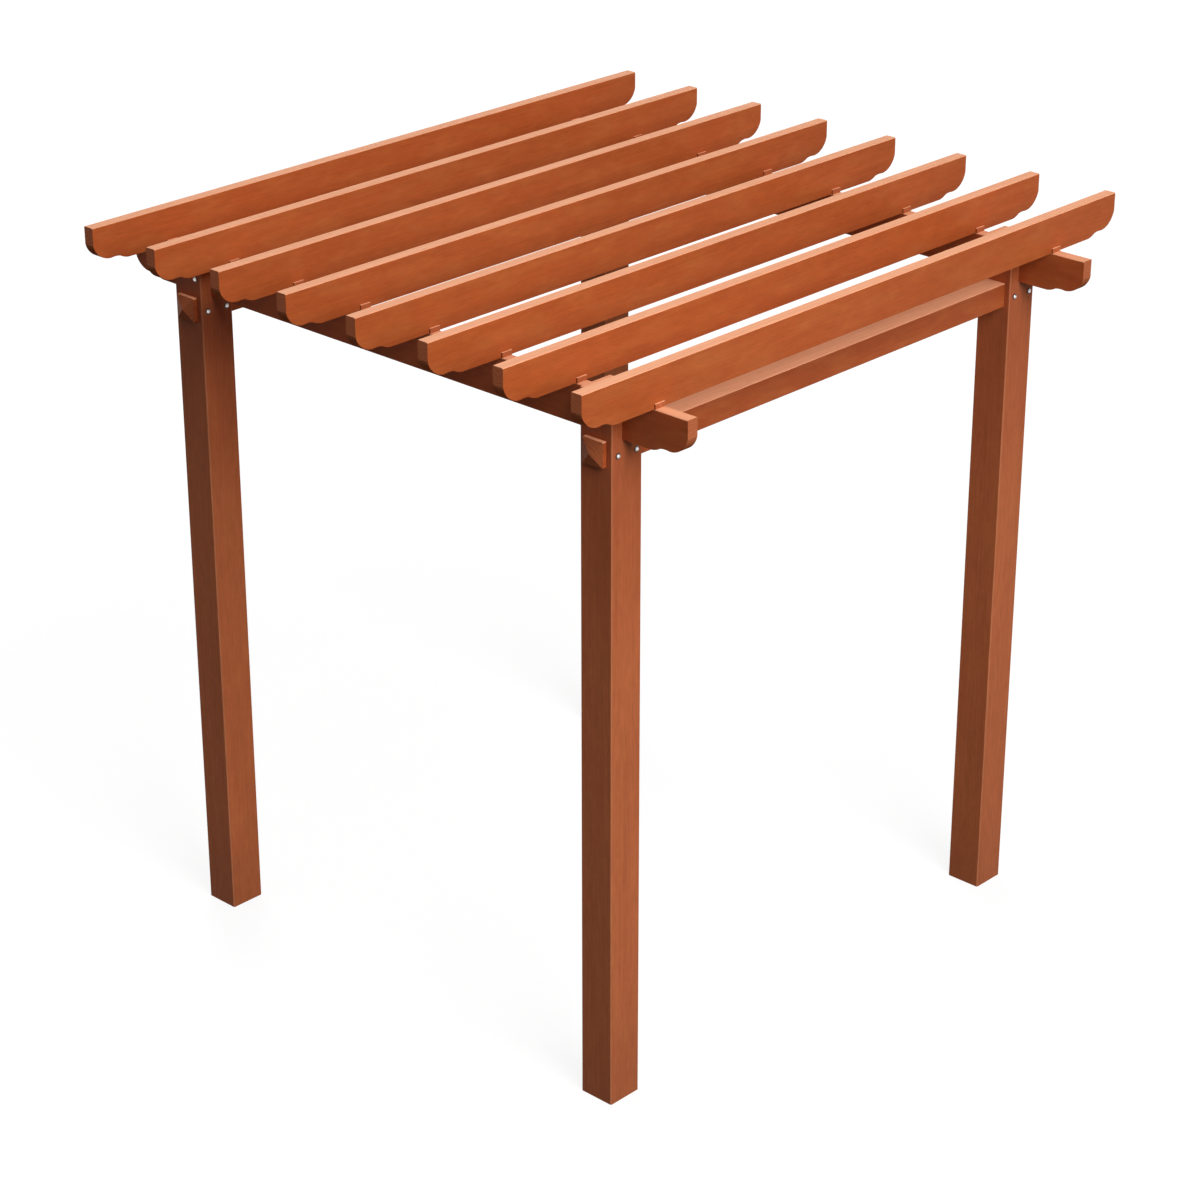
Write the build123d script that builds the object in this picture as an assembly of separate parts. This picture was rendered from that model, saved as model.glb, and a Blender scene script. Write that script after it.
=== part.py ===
from build123d import *
import os

# Free-standing garden pergola, in mm
# X runs along the two cross beams, Y along the rafters, Z up
# Origin on the ground, at the centre of the square of posts

# Timber sections
post_width = 140
beam_thick = 45
beam_depth = 138
tie_width = 90
tie_depth = 90
rafter_thick = 45
rafter_depth = 138

# Layout: the roof sets where the posts and rafters stand
post_height = 2620
head_rise = 20
beam_length = 2670
bay_shift = 15
rafter_length = 2780
rafter_overhang = 350
rafter_count = 8
outer_rafter_inset = 162.5

# Joints
fit = 1
tenon_show = 16
tenon_point = 16
tenon_tip = 4
key_height = 18
key_show = 5

# Eased timber edges
post_ease = 4
head_ease = 3
edge_ease = 2.5
key_ease = 1

# Scroll sawn on the end of every beam and rafter, from the nose back along the underside
nose_height = 65
round_run = 76
round_rise = 14
round_bow = 17
cove_run = 38
cove_rise = 13
cove_bow = 2
step_run = 36
step_bow = 2

# Rafters are spaced evenly; each post stands in an outer bay, a little inward of its middle
rafter_pitch = (beam_length - 2 * outer_rafter_inset) / (rafter_count - 1)
post_x = beam_length / 2 - outer_rafter_inset - rafter_pitch / 2 - bay_shift
post_y = rafter_length / 2 - rafter_overhang

# Heights: the posts stand a little higher than the cross beams, which rest on the tie beams
roof_base = post_height - head_rise
beam_base = roof_base - beam_depth
tie_base = beam_base - tie_depth


def bowed(start, end, bow):
    """Shallow arc from start to end, swelling by bow to the right of its direction."""
    chord = Vector(*end) - Vector(*start)
    middle = (Vector(*start) + Vector(*end)) / 2
    outward = Vector(chord.Y, -chord.X).normalized()
    return ThreePointArc(start, middle + outward * bow, end)


def scrolled_end(length, depth):
    """Sawn outline of one timber end: upright nose, round, cove, small step, underside."""
    end = length / 2
    nose_foot = (end, depth - nose_height)
    round_foot = (end - round_run, round_rise)
    cove_foot = (round_foot[0] - cove_run, cove_rise)
    step_foot = (cove_foot[0] - step_run, 0)
    return Curve() + [
        Line((end, depth), nose_foot),
        bowed(round_foot, nose_foot, round_bow),
        bowed(round_foot, cove_foot, cove_bow),
        bowed(step_foot, cove_foot, step_bow),
        Line(step_foot, (0, 0)),
    ]


def scrolled_timber(length, thick, depth):
    """Timber along X with both ends scrolled, underside at z = 0, top arrises eased."""
    right = scrolled_end(length, depth)
    left = mirror(right, about=Plane.YZ)
    top = Line((-length / 2, depth), (length / 2, depth))
    outline = make_face(Curve() + [right, left, top])
    body = extrude(Plane.XZ * outline, amount=thick / 2, both=True)
    arrises = body.faces().sort_by(Axis.Z)[-1].edges().filter_by(Axis.X)
    return chamfer(arrises, edge_ease)


def block(size_x, size_y, size_z, centre):
    """Rectangular block about a centre."""
    return Pos(*centre) * Box(size_x, size_y, size_z)


def make_post():
    """Square post, mortised through the head for the cross beam and just below it for the tie."""
    body = block(post_width, post_width, post_height, (0, 0, post_height / 2))
    body = chamfer(body.edges().filter_by(Axis.Z), post_ease)
    body = chamfer(body.faces().sort_by(Axis.Z)[-1].edges(), head_ease)
    # Beam and tie each rest on the floor of their own mortise, with room above
    beam_hole = beam_depth + fit
    body -= block(2 * post_width, beam_thick + 2 * fit, beam_hole, (0, 0, beam_base + beam_hole / 2))
    tie_hole = tie_depth + fit
    body -= block(tie_width + 2 * fit, 2 * post_width, tie_hole, (0, 0, tie_base + tie_hole / 2))
    return body


def make_tie():
    """Square tie along Y, right through both posts, with pyramid points outside them."""
    shoulder = post_y + post_width / 2 + tenon_show
    body = block(tie_width, 2 * shoulder, tie_depth, (0, 0, 0))
    body = chamfer(body.edges().filter_by(Axis.Y), edge_ease)
    cut_end = body.faces().sort_by(Axis.Y)[-1]
    tip = Plane((0, shoulder + tenon_point, 0), z_dir=(0, 1, 0)) * Rectangle(tenon_tip, tenon_tip)
    point = loft([cut_end, tip.face()])
    return body + point + mirror(point, about=Plane.XZ)


def make_rafter():
    """Scrolled rafter along Y, notched over the locating key on each cross beam."""
    body = Rot(0, 0, 90) * scrolled_timber(rafter_length, rafter_thick, rafter_depth)
    # The roof of each notch rests on its key
    notch_length = beam_thick + 2 * fit
    for side in (-1, 1):
        body -= block(2 * rafter_thick, notch_length, 2 * key_height, (0, side * post_y, 0))
    return body


def make_key():
    """Locating key on top of a cross beam, a little longer than the rafter is thick."""
    body = block(rafter_thick + 2 * key_show, beam_thick, key_height, (0, 0, key_height / 2))
    return chamfer(body.faces().sort_by(Axis.Z)[-1].edges(), key_ease)


# Each piece in its place, by name
pieces = {}

post = make_post()
corners = {
    "front_left": (-post_x, -post_y),
    "front_right": (post_x, -post_y),
    "back_left": (-post_x, post_y),
    "back_right": (post_x, post_y),
}
for corner, (x, y) in corners.items():
    pieces[f"post_{corner}"] = Pos(x, y, 0) * post

tie = make_tie()
for side, x in {"left": -post_x, "right": post_x}.items():
    pieces[f"tie_beam_{side}"] = Pos(x, 0, tie_base + tie_depth / 2) * tie

# Rafters are numbered from the left
first_rafter = outer_rafter_inset - beam_length / 2
rafter_rows = [first_rafter + place * rafter_pitch for place in range(rafter_count)]

rafter = make_rafter()
for number, x in enumerate(rafter_rows, start=1):
    pieces[f"rafter_{number}"] = Pos(x, 0, roof_base) * rafter

beam = scrolled_timber(beam_length, beam_thick, beam_depth)
key = make_key()
for row, y in {"front": -post_y, "back": post_y}.items():
    pieces[f"cross_beam_{row}"] = Pos(0, y, beam_base) * beam
    for number, x in enumerate(rafter_rows, start=1):
        pieces[f"key_{row}_{number}"] = Pos(x, y, roof_base) * key

os.makedirs("parts", exist_ok=True)
for name, piece in pieces.items():
    export_step(piece, f"parts/{name}.step")
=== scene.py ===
import math

import bpy
from bpy.props import FloatProperty, FloatVectorProperty, IntProperty, PointerProperty
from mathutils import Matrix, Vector


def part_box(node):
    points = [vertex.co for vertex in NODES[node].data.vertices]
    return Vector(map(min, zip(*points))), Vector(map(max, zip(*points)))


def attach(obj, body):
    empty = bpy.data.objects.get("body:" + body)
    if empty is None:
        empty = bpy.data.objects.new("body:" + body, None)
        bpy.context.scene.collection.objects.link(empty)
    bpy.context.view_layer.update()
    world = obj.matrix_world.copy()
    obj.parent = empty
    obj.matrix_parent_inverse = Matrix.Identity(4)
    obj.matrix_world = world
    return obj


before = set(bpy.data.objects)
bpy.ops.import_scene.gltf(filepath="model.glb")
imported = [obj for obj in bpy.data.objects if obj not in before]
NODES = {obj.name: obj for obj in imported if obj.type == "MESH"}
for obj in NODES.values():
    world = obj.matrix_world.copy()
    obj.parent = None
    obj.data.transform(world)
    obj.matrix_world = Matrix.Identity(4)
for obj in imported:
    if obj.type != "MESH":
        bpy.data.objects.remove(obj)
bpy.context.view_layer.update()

bl_info = {
    "name": "Garden pergola",
    "version": (1, 0, 0),
    "blender": (4, 5, 0),
    "location": "3D View > Sidebar > Pergola",
    "description": "Dresses a stained timber garden pergola and lights it on a plain floor",
    "category": "Object",
}

# Nodes by what they are
POSTS = sorted(name for name in NODES if name.startswith("post_"))
BEAMS = sorted(name for name in NODES if name.startswith("cross_beam_"))
TIES = sorted(name for name in NODES if name.startswith("tie_beam_"))
RAFTERS = sorted(name for name in NODES if name.startswith("rafter_"))
KEYS = sorted(name for name in NODES if name.startswith("key_"))


def linear(hex_colour):
    """An sRGB hex colour as linear red, green, blue and alpha."""
    channels = [int(hex_colour[i:i + 2], 16) / 255 for i in (1, 3, 5)]
    curve = [c / 12.92 if c <= 0.04045 else ((c + 0.055) / 1.055) ** 2.4 for c in channels]
    return (*curve, 1.0)


def span(low, high, least, most):
    """Map Range values that turn low into least and high into most."""
    return {"From Min": low, "From Max": high, "To Min": least, "To Max": most}


# Number of the first board of each kind: a board's number sets where in the wood it is cut
FIRST_POST = 15
FIRST_BEAM = 15
FIRST_TIE = 12
FIRST_RAFTER = 30
KEY_BOARD = 41
BOARD_STEP = (0.37, 0.61, 1.3)

# Layers of noise in the wood: repeats per metre, twice across the grain and then along it,
# and the detail and roughness of the noise
LAYERS = {
    # Slow drift of tone from board to board and along each board
    "drift": ((5.0, 5.0, 0.9), 2.0, 0.5),
    # Wander of the pith that the growth rings go round
    "wander": ((7.0, 7.0, 1.1), 2.0, 0.55),
    # Streaks about a centimetre wide
    "streaks": ((95.0, 95.0, 1.7), 3.0, 0.55),
    # Pores: short dark flecks, drawn a millimetre wide, far coarser than the real ones, so
    # that they show from close by
    "pores": ((900.0, 900.0, 28.0), 1.0, 0.5),
    # Soft patches a hand wide, where the brush left the stain thin
    "patches": ((14.0, 14.0, 5.0), 3.0, 0.6),
    # Small soft clouds in the figure, as wide as a finger
    "clouds": ((42.0, 42.0, 15.0), 3.0, 0.6),
}
# Fibres run some 45 times as long as they are wide. Their width is a setting, and is drawn
# coarser than the real millimetre or less, so that they show
FIBRE_STRETCH = 0.022
FIBRE_DETAIL = 3.0
FIBRE_ROUGHNESS = 0.6

# Share or tone that each layer gives
READINGS = {
    "drift": span(0.3, 0.7, 0.94, 1.05),
    "streaks": span(0.42, 0.72, 0.0, 0.18),
    "fibres": span(0.35, 0.7, -0.07, 0.11),
    "pores": span(0.56, 0.72, 0.0, 0.3),
    "patches": span(0.45, 0.72, 0.0, 0.3),
    "clouds": span(0.3, 0.7, 0.93, 1.06),
}

# Growth rings: where the pith lies beside the timber's middle line, in metres, how far it moves
# from board to board, how far it wanders, and the stops of one ring from pale to dark
PITH_PLACE = (0.23, 0.09)
PITH_SPREAD = (0.05, 0.04)
PITH_WANDER = (0.12, 0.12, 0.0)
RING_STOPS = ((0.15, 0.0), (0.86, 1.0), (0.97, 0.0))
RING_SHARE = 0.13
END_RING_SHARE = 0.4

# Changes up the posts, by height in metres
# Painted shade: the posts darken to a deeper red from 1.4 m up towards the roof
PAINTED_ROOF_SHADE = span(1.4, 2.4, 0.0, 0.36)
DARKER_FOOT = span(0.0, 0.5, 0.9, 1.0)

# Changes by the way that a face looks, as parts of one
SAWN_ACROSS = span(0.75, 0.95, 0.0, 0.8)
LOOKING_UP = span(0.4, 0.75, 0.0, 1.0)
LOOKING_DOWN = span(-0.4, -0.1, 1.0, 0.0)
CORNER_HIGHLIGHT = span(0.35, 0.5, 0.0, 0.22)

# Dark grain takes less of the painted top sheen and is rougher
SHEEN_BY_GRAIN = span(0.0, 0.5, 1.0, 0.72)
ROUGHNESS_BY_GRAIN = span(0.0, 1.0, 0.48, 0.64)

# Film of stain, far thinner and duller than varnish, and the raised grain under it, in metres
FILM_IOR = 1.5
FILM_GLOSS = 0.1
GRAIN_STRENGTH = 0.35
GRAIN_HEIGHT = 0.0008

# Zinc: blotches per metre, about two millimetres each, the noise that they are read from, and
# how much rougher the dull ones are
ZINC_BLOTCHES = 420.0
ZINC_DETAIL = 3.0
ZINC_NOISE = (0.3, 0.7)
ZINC_ROUGHER = 0.15
HEAD_ROUGHNESS = 0.28
WASHER_ROUGHNESS = 0.5

# Height of the tie beam's bolts over its underside, in metres, and rings round a domed head
TIE_BOLT_HEIGHT = 0.040
DOME_RINGS = 12

# Floor: its colour for the light that it throws back and to the eye, and the white laid over
# it, by distance in metres from the middle. The white is a little over one, to make up for the
# matt floor that still shows through it
FLOOR_LIT = "#535250"
FLOOR_SEEN = "#F4F4F4"
BACKDROP_WHITE = 1.06
WHITE_BY_DISTANCE = span(2.5, 7.0, 0.8, 1.0)

# Lamps: places, the point that they look at and their width, in metres
WINDOW_PLACE = (11.0, -3.4, 9.6)
FILL_PLACE = (-11.0, 7.0, 5.0)
OVERHEAD_PLACE = (0.0, 0.0, 6.0)
LAMPS_AIM = (0.0, 0.0, 2.0)
LAMP_WIDTH = 9.0
OVERHEAD_SPREAD = math.radians(50)

# Camera: place in metres, and the way that it looks
CAMERA_PLACE = (7.4768, -7.9812, 6.2414)
CAMERA_AZIMUTH = math.radians(43.273)
CAMERA_ELEVATION = math.radians(24.675)
SENSOR_WIDTH = 36.0
NEAREST_SEEN = 0.1
FARTHEST_SEEN = 500


def add_node(tree, kind, inputs=None, **settings):
    """Adds a node, applies its settings, and sets or links its inputs by name or place."""
    node = tree.nodes.new(kind)
    for name, value in settings.items():
        setattr(node, name, value)
    for place, value in (inputs or {}).items():
        if isinstance(value, bpy.types.NodeSocket):
            tree.links.new(value, node.inputs[place])
        else:
            node.inputs[place].default_value = value
    return node


def new_material(name):
    """An empty node material with its output and a Principled shader joined up."""
    material = bpy.data.materials.new(name)
    material.use_nodes = True
    tree = material.node_tree
    tree.nodes.clear()
    shader = add_node(tree, "ShaderNodeBsdfPrincipled")
    add_node(tree, "ShaderNodeOutputMaterial", {"Surface": shader.outputs[0]})
    return material, tree, shader


class TimberSettings(bpy.types.PropertyGroup):
    """Colours and grain of the stained timber."""

    stain: FloatVectorProperty(
        name="Stain", description="Red cedar stain on the rafters",
        subtype="COLOR", size=4, min=0, max=1, default=linear("#B6592C"))
    # Beams and ties take a darker copy of the stain: painted shade under the roof
    shaded_beam_stain: FloatVectorProperty(
        name="Beam stain", description="The same stain on the beams and ties, darkened as painted shade under the roof",
        subtype="COLOR", size=4, min=0, max=1, default=linear("#AA522A"))
    # Posts take a paler copy of the stain: a painted sheen on the posts
    sheen_pale_post_stain: FloatVectorProperty(
        name="Post stain", description="The same stain on the posts, a little paler as a painted sheen",
        subtype="COLOR", size=4, min=0, max=1, default=linear("#C26B42"))
    # Colour of the painted shade on the post heads under the roof
    roof_shade_red: FloatVectorProperty(
        name="Roof shade red", description="Painted shade: a darker red on the post heads under the roof",
        subtype="COLOR", size=4, min=0, max=1, default=linear("#8A3A1C"))
    late_wood: FloatVectorProperty(
        name="Late wood", description="Darker lines of winter growth, and the locating keys",
        subtype="COLOR", size=4, min=0, max=1, default=linear("#93441F"))
    # Painted sheen laid on every face that looks up
    painted_top_sheen: FloatVectorProperty(
        name="Painted top sheen", description="Painted sheen: the paler colour laid on faces that look up, where light falls from above",
        subtype="COLOR", size=4, min=0, max=1, default=linear("#F0AA82"))
    thin_stain: FloatVectorProperty(
        name="Thin stain", description="Honey patches where the stain lies thin",
        subtype="COLOR", size=4, min=0, max=1, default=linear("#C47440"))
    end_wood: FloatVectorProperty(
        name="End grain", description="Colour of the sawn ends between their rings",
        subtype="COLOR", size=4, min=0, max=1, default=linear("#BC6B45"))
    ring_spacing: FloatProperty(
        name="Ring spacing", description="Distance between growth rings across the timber",
        unit="LENGTH", min=0.002, max=0.05, default=0.011)
    fibre_width: FloatProperty(
        name="Fibre width", description="Width of the fine streaks along the grain",
        unit="LENGTH", min=0.001, max=0.02, default=0.0035)


class BoltSettings(bpy.types.PropertyGroup):
    """Zinc and sizes of the coach bolts at the post heads."""

    head_zinc: FloatVectorProperty(
        name="Head", description="Bright zinc on the domed heads",
        subtype="COLOR", size=4, min=0, max=1, default=linear("#D6D5D4"))
    head_blotch: FloatVectorProperty(
        name="Head blotch", description="Cloudy blotches in the zinc of the heads",
        subtype="COLOR", size=4, min=0, max=1, default=linear("#B9B7B5"))
    # Washers in dark zinc paint the shade ring round each bolt head
    washer_shade_zinc: FloatVectorProperty(
        name="Washer", description="Dark zinc of the washers, a painted shade ring round each head",
        subtype="COLOR", size=4, min=0, max=1, default=linear("#66564D"))
    washer_blotch: FloatVectorProperty(
        name="Washer blotch", description="Darker blotches in the dark washers",
        subtype="COLOR", size=4, min=0, max=1, default=linear("#4A3A32"))
    head_diameter: FloatProperty(
        name="Head diameter", description="Across the domed head",
        unit="LENGTH", min=0.01, max=0.05, default=0.0155)
    head_height: FloatProperty(
        name="Head height", description="How far the dome stands off the washer",
        unit="LENGTH", min=0.002, max=0.02, default=0.006)
    washer_diameter: FloatProperty(
        name="Washer diameter", description="Across the washer under the head",
        unit="LENGTH", min=0.01, max=0.08, default=0.022)
    washer_thickness: FloatProperty(
        name="Washer thickness", description="Thickness of the washer",
        unit="LENGTH", min=0.0005, max=0.01, default=0.0015)
    bolt_spread: FloatProperty(
        name="Bolt spread", description="Distance between the two bolts of a pair",
        unit="LENGTH", min=0.02, max=0.12, default=0.086)
    sides: IntProperty(
        name="Sides", description="Sides of the round heads and washers",
        min=8, max=64, default=24)


class StageSettings(bpy.types.PropertyGroup):
    """Floor, lights and camera."""

    window_power: FloatProperty(
        name="Window light", description="Power of the large soft light at the front right, in watts",
        min=0, max=10000, default=1840)
    fill_power: FloatProperty(
        name="Fill light", description="Power of the soft light behind on the left, in watts",
        min=0, max=10000, default=1100)
    overhead_strength: FloatProperty(
        name="Overhead", description="Strength of the wide light from straight above",
        min=0, max=20, default=1.0)
    sky_strength: FloatProperty(
        name="Sky", description="Strength of the even light from all round",
        min=0, max=5, default=0.02)
    focal_length: FloatProperty(
        name="Lens", description="Focal length of the camera in millimetres",
        min=20, max=300, default=96.75)
    floor_size: FloatProperty(
        name="Floor size", description="Side of the square floor",
        unit="LENGTH", min=5, max=500, default=120.0)


def read_layers(tree, place, fibre_width):
    """Noise of every layer of the wood, and the share or tone that it gives, by name."""
    across = 1 / fibre_width
    fibres = ((across, across, across * FIBRE_STRETCH), FIBRE_DETAIL, FIBRE_ROUGHNESS)
    noise, reading = {}, {}
    for title, (scale, detail, roughness) in {**LAYERS, "fibres": fibres}.items():
        stretched = add_node(tree, "ShaderNodeMapping", {
            "Vector": place, "Scale": scale}).outputs[0]
        noise[title] = add_node(tree, "ShaderNodeTexNoise", {
            "Vector": stretched, "Scale": 1.0,
            "Detail": detail, "Roughness": roughness}).outputs
    for title, values in READINGS.items():
        reading[title] = add_node(tree, "ShaderNodeMapRange", {
            "Value": noise[title][0], **values}).outputs[0]
    return noise, reading


def growth_rings(tree, grain, wander, spacing, board):
    """Growth rings as nought to one, by the distance from a pith that wanders.

    They are drawn coarser than the real 3 mm, so that they still show in a view of the frame.
    """
    pith = (
        PITH_PLACE[0] + PITH_SPREAD[0] * math.sin(board),
        PITH_PLACE[1] + PITH_SPREAD[1] * math.cos(board), 0)
    flat = add_node(tree, "ShaderNodeMapping", {
        "Vector": grain, "Location": pith, "Scale": (1.0, 1.0, 0.0)}).outputs[0]
    stray = add_node(tree, "ShaderNodeVectorMath", {
        0: wander, 1: PITH_WANDER}, operation="MULTIPLY").outputs[0]
    bent = add_node(tree, "ShaderNodeVectorMath", {0: flat, 1: stray}, operation="ADD").outputs[0]
    radius = add_node(tree, "ShaderNodeVectorMath", {0: bent}, operation="LENGTH").outputs["Value"]
    turns = add_node(tree, "ShaderNodeMath", {
        0: radius, 1: 1 / spacing}, operation="MULTIPLY").outputs[0]
    ring = add_node(tree, "ShaderNodeMath", {0: turns}, operation="FRACT").outputs[0]
    ramp = add_node(tree, "ShaderNodeValToRGB", {0: ring})
    stops = ramp.color_ramp.elements
    stops.new(1.0)
    for stop, (position, shade) in zip(stops, RING_STOPS):
        stop.position = position
        stop.color = (shade, shade, shade, 1)
    return ramp.outputs[0]


def timber_material(name, along, stain, settings, board):
    """Planed softwood, brush stained: straight streaks, soft growth rings, satin film of stain."""
    material, tree, shader = new_material(name)

    # Grain coordinates in metres: two across the timber, then one along it
    place = add_node(tree, "ShaderNodeTexCoord").outputs["Object"]
    axes = add_node(tree, "ShaderNodeSeparateXYZ", {0: place}).outputs
    order = {"X": (1, 2, 0), "Y": (0, 2, 1), "Z": (0, 1, 2)}[along]
    grain = add_node(tree, "ShaderNodeCombineXYZ", {i: axes[order[i]] for i in range(3)}).outputs[0]
    cut = add_node(tree, "ShaderNodeMapping", {
        "Vector": grain, "Location": [board * step for step in BOARD_STEP]}).outputs[0]
    noise, reading = read_layers(tree, cut, settings.fibre_width)
    rings = growth_rings(tree, grain, noise["wander"][1], settings.ring_spacing, board)

    # Stain, then rings, streaks, fibres and pores over it, and thin patches over those
    dark = add_node(tree, "ShaderNodeMath", {0: rings, 1: RING_SHARE}, operation="MULTIPLY").outputs[0]
    for title in ("streaks", "fibres", "pores"):
        dark = add_node(tree, "ShaderNodeMath", {0: dark, 1: reading[title]}, operation="ADD").outputs[0]
    dark.node.use_clamp = True
    face = add_node(tree, "ShaderNodeMix", {
        "Factor": dark, "A": tuple(stain), "B": tuple(settings.late_wood)},
        data_type="RGBA").outputs["Result"]
    face = add_node(tree, "ShaderNodeMix", {
        "Factor": reading["patches"], "A": face, "B": tuple(settings.thin_stain)},
        data_type="RGBA").outputs["Result"]

    # Tone drifts a few percent either way
    tone = add_node(tree, "ShaderNodeMath", {
        0: reading["drift"], 1: reading["clouds"]}, operation="MULTIPLY").outputs[0]
    if along == "Z":
        # Posts turn a darker red under the roof, painted shade there, and are darker towards the foot
        roof_shade = add_node(tree, "ShaderNodeMapRange", {
            "Value": axes[2], **PAINTED_ROOF_SHADE}, interpolation_type="SMOOTHSTEP").outputs[0]
        face = add_node(tree, "ShaderNodeMix", {
            "Factor": roof_shade, "A": face, "B": tuple(settings.roof_shade_red)},
            data_type="RGBA").outputs["Result"]
        # Darker towards the foot of each post
        foot = add_node(tree, "ShaderNodeMapRange", {
            "Value": axes[2], **DARKER_FOOT}, interpolation_type="SMOOTHSTEP").outputs[0]
        tone = add_node(tree, "ShaderNodeMath", {0: tone, 1: foot}, operation="MULTIPLY").outputs[0]
    face = add_node(tree, "ShaderNodeHueSaturation", {"Color": face, "Value": tone}).outputs[0]

    # Sawn ends have a colour of their own and show the rings more
    turn = add_node(tree, "ShaderNodeSeparateXYZ", {
        0: add_node(tree, "ShaderNodeTexCoord").outputs["Normal"]}).outputs
    across = add_node(tree, "ShaderNodeMath", {
        0: turn["XYZ".index(along)]}, operation="ABSOLUTE").outputs[0]
    end = add_node(tree, "ShaderNodeMapRange", {"Value": across, **SAWN_ACROSS}).outputs[0]
    end_rings = add_node(tree, "ShaderNodeMath", {
        0: rings, 1: END_RING_SHARE}, operation="MULTIPLY").outputs[0]
    end_face = add_node(tree, "ShaderNodeMix", {
        "Factor": end_rings, "A": tuple(settings.end_wood), "B": tuple(settings.late_wood)},
        data_type="RGBA").outputs["Result"]
    sawn = add_node(tree, "ShaderNodeMix", {
        "Factor": end, "A": face, "B": end_face}, data_type="RGBA").outputs["Result"]

    # Painted sheen: whatever looks up is painted paler, as light from above falls on it, and the upright
    # corners get a painted highlight too
    pale = add_node(tree, "ShaderNodeMapRange", {"Value": turn[2], **LOOKING_UP}).outputs[0]
    if along == "Z":
        # Painted highlight along the upright corners of the posts, in the painted top sheen colour
        corner = add_node(tree, "ShaderNodeMath", {
            0: turn[0], 1: turn[1]}, operation="MULTIPLY").outputs[0]
        corner = add_node(tree, "ShaderNodeMath", {0: corner}, operation="ABSOLUTE").outputs[0]
        lit_corner = add_node(tree, "ShaderNodeMapRange", {"Value": corner, **CORNER_HIGHLIGHT}).outputs[0]
        pale = add_node(tree, "ShaderNodeMath", {0: pale, 1: lit_corner}, operation="MAXIMUM").outputs[0]
    grain_sheen = add_node(tree, "ShaderNodeMapRange", {"Value": dark, **SHEEN_BY_GRAIN}).outputs[0]
    sheen_share = add_node(tree, "ShaderNodeMath", {0: pale, 1: grain_sheen}, operation="MULTIPLY").outputs[0]
    colour = add_node(tree, "ShaderNodeMix", {
        "Factor": sheen_share, "A": sawn, "B": tuple(settings.painted_top_sheen)}, data_type="RGBA").outputs["Result"]

    # Satin film, rougher along the dark grain. Undersides are left rough from the saw, and
    # don't mirror the pale floor
    film = add_node(tree, "ShaderNodeMapRange", {"Value": dark, **ROUGHNESS_BY_GRAIN}).outputs[0]
    under = add_node(tree, "ShaderNodeMapRange", {"Value": turn[2], **LOOKING_DOWN}).outputs[0]
    roughness = add_node(tree, "ShaderNodeMath", {0: film, 1: under}, operation="MAXIMUM").outputs[0]
    height = add_node(tree, "ShaderNodeMath", {
        0: noise["fibres"][0], 1: dark}, operation="SUBTRACT").outputs[0]
    bump = add_node(tree, "ShaderNodeBump", {
        "Height": height, "Strength": GRAIN_STRENGTH, "Distance": GRAIN_HEIGHT}).outputs[0]
    tree.links.new(colour, shader.inputs["Base Color"])
    tree.links.new(roughness, shader.inputs["Roughness"])
    tree.links.new(bump, shader.inputs["Normal"])
    shader.inputs["IOR"].default_value = FILM_IOR
    shader.inputs["Specular IOR Level"].default_value = FILM_GLOSS
    return material


def zinc_material(name, zinc, blotch, smooth):
    """Zinc-plated steel, tumbled: slightly cloudy, bright on the heads, dark on the washers, where it
    paints the shade ring round each head.
    """
    material, tree, shader = new_material(name)
    place = add_node(tree, "ShaderNodeTexCoord").outputs["Object"]
    cloud = add_node(tree, "ShaderNodeTexNoise", {
        "Vector": place, "Scale": ZINC_BLOTCHES, "Detail": ZINC_DETAIL}).outputs[0]
    rough = add_node(tree, "ShaderNodeMapRange", {
        "Value": cloud, **span(*ZINC_NOISE, smooth, smooth + ZINC_ROUGHER)}).outputs[0]
    tint = add_node(tree, "ShaderNodeMix", {
        "Factor": cloud, "A": tuple(zinc), "B": tuple(blotch)},
        data_type="RGBA").outputs["Result"]
    tree.links.new(tint, shader.inputs["Base Color"])
    tree.links.new(rough, shader.inputs["Roughness"])
    shader.inputs["Metallic"].default_value = 1.0
    return material


def dress(names, along, stain, first_board):
    """Gives each named timber a board of its own, grain along its length."""
    if not names:
        raise RuntimeError("the frame lacks the timbers that this step stains")
    settings = bpy.context.scene.pergola_timber
    for board, name in enumerate(names, start=first_board):
        piece = NODES[name]
        piece.data.materials.clear()
        piece.data.materials.append(timber_material(
            f"stained_softwood_{name}", along, stain, settings, board))


class PERGOLA_OT_posts(bpy.types.Operator):
    """Stain the four square posts, grain upright"""

    bl_idname = "pergola.posts"
    bl_label = "Posts"

    def execute(self, context):
        dress(POSTS, "Z", context.scene.pergola_timber.sheen_pale_post_stain, FIRST_POST)
        return {"FINISHED"}


class PERGOLA_OT_cross_beams(bpy.types.Operator):
    """Stain the scrolled cross beams, grain along X"""

    bl_idname = "pergola.cross_beams"
    bl_label = "Cross beams"

    def execute(self, context):
        dress(BEAMS, "X", context.scene.pergola_timber.shaded_beam_stain, FIRST_BEAM)
        return {"FINISHED"}


class PERGOLA_OT_tie_beams(bpy.types.Operator):
    """Stain the tie beams and their pointed tenons, grain along Y"""

    bl_idname = "pergola.tie_beams"
    bl_label = "Tie beams"

    def execute(self, context):
        dress(TIES, "Y", context.scene.pergola_timber.shaded_beam_stain, FIRST_TIE)
        return {"FINISHED"}


class PERGOLA_OT_rafters(bpy.types.Operator):
    """Stain the scrolled rafters, grain along Y"""

    bl_idname = "pergola.rafters"
    bl_label = "Rafters"

    def execute(self, context):
        dress(RAFTERS, "Y", context.scene.pergola_timber.stain, FIRST_RAFTER)
        return {"FINISHED"}


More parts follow.
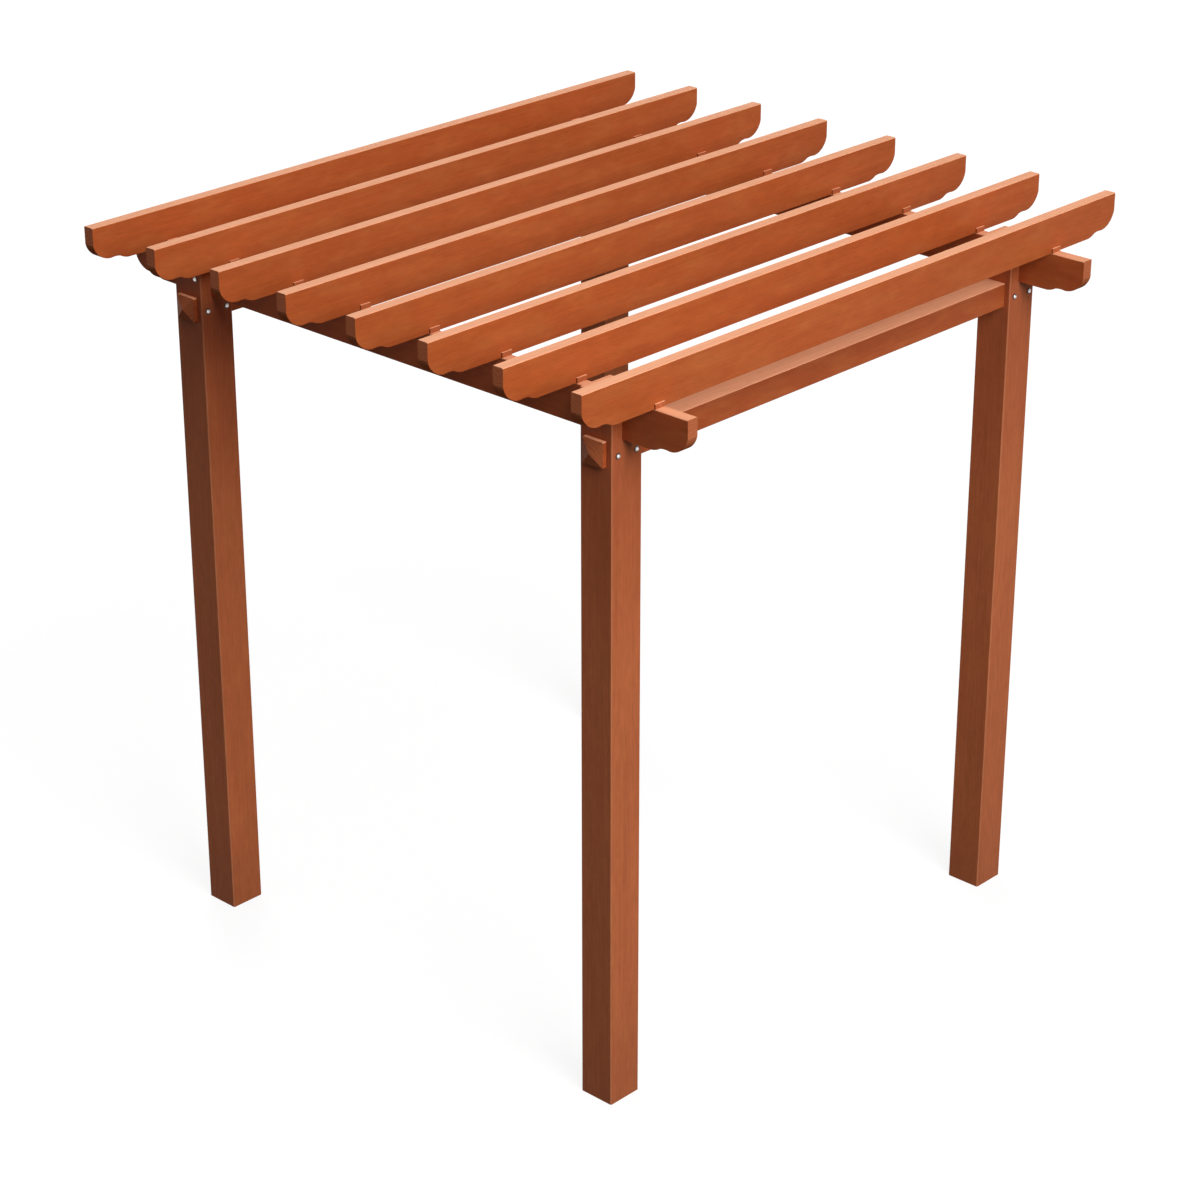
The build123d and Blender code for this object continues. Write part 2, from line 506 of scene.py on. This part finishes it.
class PERGOLA_OT_keys(bpy.types.Operator):
    """Stain the small locating keys, all cut from one board, in the dark late-wood colour as painted
    shade where rafter meets beam, grain along X
    """

    bl_idname = "pergola.keys"
    bl_label = "Locating keys"

    def execute(self, context):
        if not KEYS:
            raise RuntimeError("the frame lacks the locating keys")
        settings = context.scene.pergola_timber
        # Dark late-wood colour on the keys: painted shade at the crossings of rafters and beams
        material = timber_material(
            "stained_softwood_keys", "X", settings.late_wood, settings, KEY_BOARD)
        for name in KEYS:
            piece = NODES[name]
            piece.data.materials.clear()
            piece.data.materials.append(material)
        return {"FINISHED"}


def bolt_places(spread):
    """Where each bolt head sits on a post face, and the way it faces."""
    places = []
    for name in POSTS:
        low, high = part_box(name)
        side = "left" if name.endswith("left") else "right"
        row = "front" if "front" in name else "back"
        middle_x, middle_y = (low[0] + high[0]) / 2, (low[1] + high[1]) / 2
        tie_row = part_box(f"tie_beam_{side}")[0][2] + TIE_BOLT_HEIGHT
        beam_low, beam_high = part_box(f"cross_beam_{row}")
        beam_row = (beam_low[2] + beam_high[2]) / 2
        for way in (-1, 1):
            face_x = high[0] if way > 0 else low[0]
            face_y = high[1] if way > 0 else low[1]
            for step in (-0.5 * spread, 0.5 * spread):
                places.append(((face_x, middle_y + step, tie_row), (way, 0, 0)))
                places.append(((middle_x + step, face_y, beam_row), (0, way, 0)))
    return places


def domed_head(tree, given):
    """Dome of a bolt head on its washer: a ball whose lower half is pressed to a flat seat."""
    ball = add_node(tree, "GeometryNodeMeshUVSphere", {
        "Segments": given["Sides"], "Rings": DOME_RINGS, "Radius": 0.5}).outputs[0]
    spot = add_node(tree, "ShaderNodeSeparateXYZ", {
        0: add_node(tree, "GeometryNodeInputPosition").outputs[0]}).outputs
    height = add_node(tree, "ShaderNodeMath", {0: spot[2], 1: 0.0}, operation="MAXIMUM").outputs[0]
    seated = add_node(tree, "ShaderNodeCombineXYZ", {0: spot[0], 1: spot[1], 2: height}).outputs[0]
    ball = add_node(tree, "GeometryNodeSetPosition", {
        "Geometry": ball, "Position": seated}).outputs[0]
    twice_high = add_node(tree, "ShaderNodeMath", {
        0: given["Head height"], 1: 2.0}, operation="MULTIPLY").outputs[0]
    size = add_node(tree, "ShaderNodeCombineXYZ", {
        0: given["Head diameter"], 1: given["Head diameter"], 2: twice_high}).outputs[0]
    lift = add_node(tree, "ShaderNodeCombineXYZ", {2: given["Washer thickness"]}).outputs[0]
    dome = add_node(tree, "GeometryNodeTransform", {
        "Geometry": ball, "Translation": lift, "Scale": size}).outputs[0]
    smooth = add_node(tree, "GeometryNodeSetShadeSmooth", {0: dome}).outputs[0]
    return add_node(tree, "GeometryNodeStoreNamedAttribute", {
        "Geometry": smooth, "Name": "domed", "Value": True},
        data_type="BOOLEAN", domain="FACE").outputs[0]


def washer(tree, given):
    """Washer under the dome, half sunk into the timber, where the bolt has drawn it in. It is a dark
    ring of painted shade round the head.
    """
    half_width = add_node(tree, "ShaderNodeMath", {
        0: given["Washer diameter"], 1: 0.5}, operation="MULTIPLY").outputs[0]
    twice_thick = add_node(tree, "ShaderNodeMath", {
        0: given["Washer thickness"], 1: 2.0}, operation="MULTIPLY").outputs[0]
    return add_node(tree, "GeometryNodeMeshCylinder", {
        "Vertices": given["Sides"], "Radius": half_width, "Depth": twice_thick}).outputs[0]


def bolt_tree(bright_zinc, shade_ring_zinc):
    """Node tree that puts a domed head on a washer at every point, turned to its face."""
    tree = bpy.data.node_groups.new("bolt_heads", "GeometryNodeTree")
    sockets = tree.interface
    sockets.new_socket("Geometry", in_out="INPUT", socket_type="NodeSocketGeometry")
    for title in ("Head diameter", "Head height", "Washer diameter", "Washer thickness"):
        sockets.new_socket(title, in_out="INPUT", socket_type="NodeSocketFloat")
    sockets.new_socket("Sides", in_out="INPUT", socket_type="NodeSocketInt")
    sockets.new_socket("Geometry", in_out="OUTPUT", socket_type="NodeSocketGeometry")
    given = add_node(tree, "NodeGroupInput").outputs

    bolt = add_node(tree, "GeometryNodeJoinGeometry")
    for part in (washer(tree, given), domed_head(tree, given)):
        tree.links.new(part, bolt.inputs[0])
    facing = add_node(tree, "GeometryNodeInputNamedAttribute", {
        "Name": "facing"}, data_type="FLOAT_VECTOR").outputs[0]
    turn = add_node(tree, "FunctionNodeAlignEulerToVector", {"Vector": facing}, axis="Z").outputs[0]
    copies = add_node(tree, "GeometryNodeInstanceOnPoints", {
        "Points": given["Geometry"], "Instance": bolt.outputs[0], "Rotation": turn}).outputs[0]
    real = add_node(tree, "GeometryNodeRealizeInstances", {0: copies}).outputs[0]
    plated = add_node(tree, "GeometryNodeSetMaterial", {
        "Geometry": real, "Material": shade_ring_zinc}).outputs[0]
    domed = add_node(tree, "GeometryNodeInputNamedAttribute", {
        "Name": "domed"}, data_type="BOOLEAN").outputs[0]
    polished = add_node(tree, "GeometryNodeSetMaterial", {
        "Geometry": plated, "Selection": domed, "Material": bright_zinc}).outputs[0]
    add_node(tree, "NodeGroupOutput", {0: polished})
    return tree


class PERGOLA_OT_bolts(bpy.types.Operator):
    """Fit a domed bolt head and washer at every bolt place on the posts"""

    bl_idname = "pergola.bolts"
    bl_label = "Bolts"

    def execute(self, context):
        settings = context.scene.pergola_bolts
        places = bolt_places(settings.bolt_spread)
        mesh = bpy.data.meshes.new("bolt_places")
        mesh.from_pydata([place for place, way in places], [], [])
        facing = mesh.attributes.new("facing", "FLOAT_VECTOR", "POINT")
        for number, (place, way) in enumerate(places):
            facing.data[number].vector = way
        points = bpy.data.objects.new("bolt_places", mesh)
        context.scene.collection.objects.link(points)
        tree = bolt_tree(
            zinc_material(
                "zinc_plated_steel", settings.head_zinc, settings.head_blotch, HEAD_ROUGHNESS),
            # Dark washer zinc: painted shade ring round each head
            zinc_material(
                "washer_zinc_painted_shade", settings.washer_shade_zinc, settings.washer_blotch,
                WASHER_ROUGHNESS))
        modifier = points.modifiers.new("bolt_heads", "NODES")
        modifier.node_group = tree
        values = {
            "Head diameter": settings.head_diameter, "Head height": settings.head_height,
            "Washer diameter": settings.washer_diameter,
            "Washer thickness": settings.washer_thickness, "Sides": settings.sides}
        for item in tree.interface.items_tree:
            if item.name in values:
                modifier[item.identifier] = values[item.name]
        graph = context.evaluated_depsgraph_get()
        heads = bpy.data.meshes.new_from_object(points.evaluated_get(graph))
        if not heads.polygons:
            raise RuntimeError("the bolt heads came out empty")
        points.modifiers.remove(modifier)
        bpy.data.objects.remove(points)
        bolts = bpy.data.objects.new("bolt_heads", heads)
        context.scene.collection.objects.link(bolts)
        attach(bolts, "root")
        return {"FINISHED"}


def backdrop_seen(tree):
    """One where the eye, a reflection or glass looks at the backdrop, nought for its light."""
    path = add_node(tree, "ShaderNodeLightPath").outputs
    either = add_node(tree, "ShaderNodeMath", {
        0: path["Is Camera Ray"], 1: path["Is Glossy Ray"]}, operation="MAXIMUM").outputs[0]
    return add_node(tree, "ShaderNodeMath", {
        0: either, 1: path["Is Transmission Ray"]}, operation="MAXIMUM").outputs[0]


class PERGOLA_OT_stage(bpy.types.Operator):
    """Lay the floor and set the sky, the lamps and the camera"""

    bl_idname = "pergola.stage"
    bl_label = "Stage"

    def execute(self, context):
        settings = context.scene.pergola_stage
        scene = context.scene
        self.lay_floor(scene, settings)
        self.light_sky(scene, settings)
        self.hang_lamps(scene, settings)
        self.place_camera(scene, settings)
        scene.view_settings.view_transform = "Standard"
        return {"FINISHED"}

    def lay_floor(self, scene, settings):
        """Pale matt floor, white to the eye with a soft shadow, grey to the light it gives back."""
        material = bpy.data.materials.new("pale_floor")
        material.use_nodes = True
        tree = material.node_tree
        tree.nodes.clear()
        seen = backdrop_seen(tree)
        shade = add_node(tree, "ShaderNodeMix", {
            "Factor": seen, "A": linear(FLOOR_LIT), "B": linear(FLOOR_SEEN)},
            data_type="RGBA").outputs["Result"]
        matt = add_node(tree, "ShaderNodeBsdfDiffuse", {"Color": shade}).outputs[0]
        white = add_node(tree, "ShaderNodeEmission", {
            "Color": (1, 1, 1, 1), "Strength": BACKDROP_WHITE}).outputs[0]
        # The shadow shows near the posts, and the floor turns plain white further off
        distance = add_node(tree, "ShaderNodeVectorMath", {
            0: add_node(tree, "ShaderNodeTexCoord").outputs["Object"]},
            operation="LENGTH").outputs["Value"]
        plain = add_node(tree, "ShaderNodeMapRange", {
            "Value": distance, **WHITE_BY_DISTANCE}, interpolation_type="SMOOTHSTEP").outputs[0]
        share = add_node(tree, "ShaderNodeMath", {
            0: seen, 1: plain}, operation="MULTIPLY").outputs[0]
        both = add_node(tree, "ShaderNodeMixShader", {0: share, 1: matt, 2: white}).outputs[0]
        add_node(tree, "ShaderNodeOutputMaterial", {"Surface": both})
        half = settings.floor_size / 2
        mesh = bpy.data.meshes.new("floor")
        corners = [(-half, -half, 0), (half, -half, 0), (half, half, 0), (-half, half, 0)]
        mesh.from_pydata(corners, [], [(0, 1, 2, 3)])
        mesh.materials.append(material)
        floor = bpy.data.objects.new("floor", mesh)
        scene.collection.objects.link(floor)

    def light_sky(self, scene, settings):
        """Even sky, white where it is seen and faint as a light."""
        world = bpy.data.worlds.new("sky")
        scene.world = world
        world.use_nodes = True
        tree = world.node_tree
        tree.nodes.clear()
        strength = add_node(tree, "ShaderNodeMix", {
            "Factor": backdrop_seen(tree), "A": settings.sky_strength, "B": 1.0},
            data_type="FLOAT").outputs["Result"]
        sky = add_node(tree, "ShaderNodeBackground", {
            "Color": (1.0, 1.0, 1.0, 1.0), "Strength": strength}).outputs[0]
        add_node(tree, "ShaderNodeOutputWorld", {"Surface": sky})

    def hang_lamps(self, scene, settings):
        """A large window light at the front right, a fill behind and a wide light overhead."""
        window = bpy.data.lights.new("window_light", "AREA")
        window.energy = settings.window_power
        fill = bpy.data.lights.new("fill_light", "AREA")
        fill.energy = settings.fill_power
        for lamp in (window, fill):
            lamp.shape = "DISK"
            lamp.size = LAMP_WIDTH
        overhead = bpy.data.lights.new("overhead_light", "SUN")
        overhead.energy = settings.overhead_strength
        overhead.angle = OVERHEAD_SPREAD
        for lamp, place in (
                (window, WINDOW_PLACE), (fill, FILL_PLACE), (overhead, OVERHEAD_PLACE)):
            holder = bpy.data.objects.new(lamp.name, lamp)
            holder.location = place
            holder.rotation_mode = "QUATERNION"
            aim = Vector(place) - Vector(LAMPS_AIM)
            holder.rotation_quaternion = aim.to_track_quat("Z", "Y")
            holder.visible_camera = False
            # The fill is kept out of reflections, as it would whiten the rafter tops
            holder.visible_glossy = lamp is not fill
            scene.collection.objects.link(holder)

    def place_camera(self, scene, settings):
        """Camera above the front right corner, looking down at the middle of the frame."""
        back = Vector((
            math.sin(CAMERA_AZIMUTH) * math.cos(CAMERA_ELEVATION),
            -math.cos(CAMERA_AZIMUTH) * math.cos(CAMERA_ELEVATION),
            math.sin(CAMERA_ELEVATION)))
        lens = bpy.data.cameras.new("camera")
        lens.lens = settings.focal_length
        lens.sensor_width = SENSOR_WIDTH
        lens.clip_start = NEAREST_SEEN
        lens.clip_end = FARTHEST_SEEN
        camera = bpy.data.objects.new("camera", lens)
        camera.location = CAMERA_PLACE
        camera.rotation_mode = "QUATERNION"
        camera.rotation_quaternion = (-back).to_track_quat("-Z", "Y")
        scene.collection.objects.link(camera)
        scene.camera = camera


STEPS = (
    PERGOLA_OT_posts, PERGOLA_OT_cross_beams, PERGOLA_OT_tie_beams, PERGOLA_OT_rafters,
    PERGOLA_OT_keys, PERGOLA_OT_bolts, PERGOLA_OT_stage)
GROUPS = {
    "pergola_timber": TimberSettings,
    "pergola_bolts": BoltSettings,
    "pergola_stage": StageSettings,
}


class PERGOLA_PT_panel(bpy.types.Panel):
    """Buttons and values for the pergola"""

    bl_idname = "PERGOLA_PT_panel"
    bl_label = "Garden pergola"
    bl_space_type = "VIEW_3D"
    bl_region_type = "UI"
    bl_category = "Pergola"

    def draw(self, context):
        layout = self.layout
        for name, group in GROUPS.items():
            values = getattr(context.scene, name)
            box = layout.box()
            box.label(text=group.__name__.replace("Settings", ""))
            for key in group.__annotations__:
                box.prop(values, key)
        for step in STEPS:
            layout.operator(step.bl_idname)


def register():
    for name, group in GROUPS.items():
        bpy.utils.register_class(group)
        setattr(bpy.types.Scene, name, PointerProperty(type=group))
    for step in STEPS:
        bpy.utils.register_class(step)
    bpy.utils.register_class(PERGOLA_PT_panel)


def unregister():
    bpy.utils.unregister_class(PERGOLA_PT_panel)
    for step in reversed(STEPS):
        bpy.utils.unregister_class(step)
    for name, group in GROUPS.items():
        delattr(bpy.types.Scene, name)
        bpy.utils.unregister_class(group)


def main():
    """Registers the add-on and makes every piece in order."""
    register()
    for step in STEPS:
        group, action = step.bl_idname.split(".")
        getattr(getattr(bpy.ops, group), action)()


if __name__ == "__main__":
    main()
